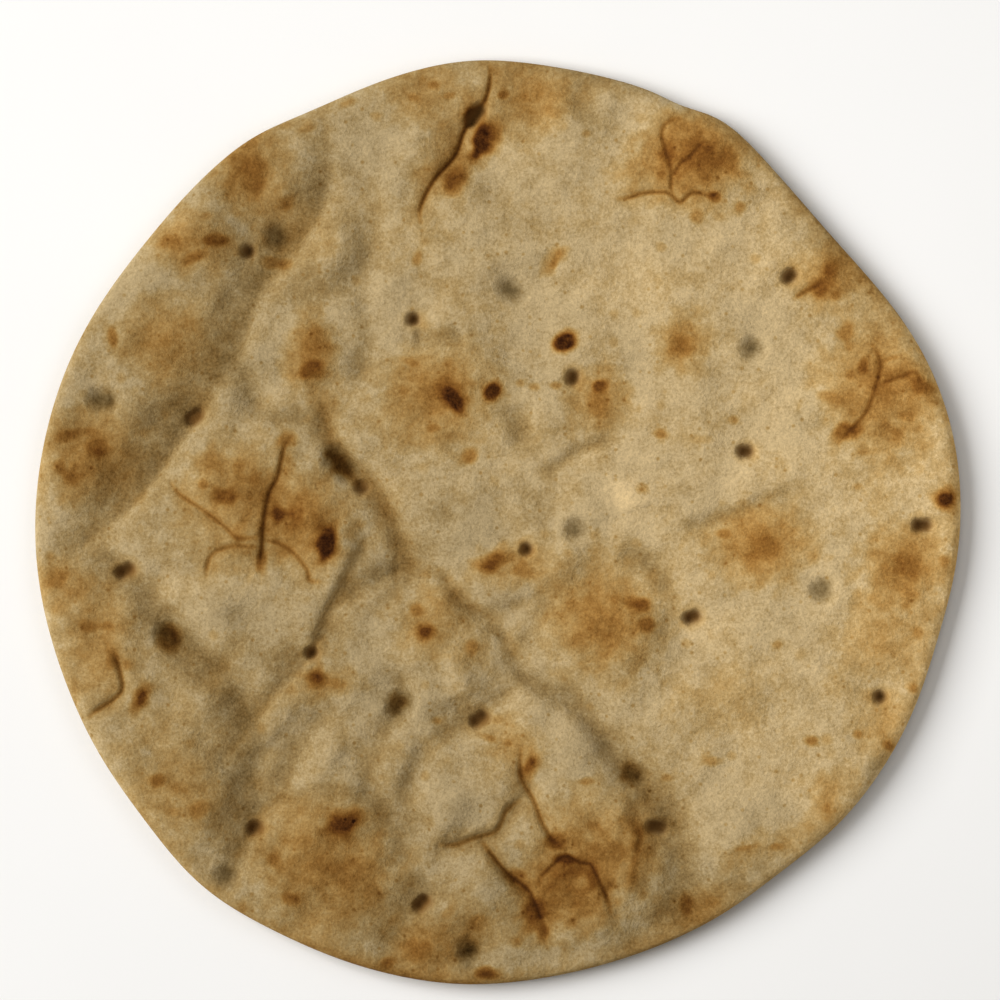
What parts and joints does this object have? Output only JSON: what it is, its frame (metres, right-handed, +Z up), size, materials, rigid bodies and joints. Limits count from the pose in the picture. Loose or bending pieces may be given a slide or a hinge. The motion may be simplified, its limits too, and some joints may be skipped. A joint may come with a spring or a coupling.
{
  "type": "pita bread",
  "caption": "Round flat pita bread, pricked and puffed, with creases and toasted patches, lying flat.",
  "frame": {"origin": "under the middle of the bread, on the surface that it lies on", "axes": "+Z up through the bread's thickness, +X to the picture's right, +Y to the picture's top"},
  "size_m": [0.1716, 0.1714, 0.0082],
  "materials": {
    "baked_dough": "matt floury crust, pale dough with golden and dark toasted patches"
  },
  "bodies": {
    "root": {"pita": "baked_dough"}
  },
  "joints": []
}
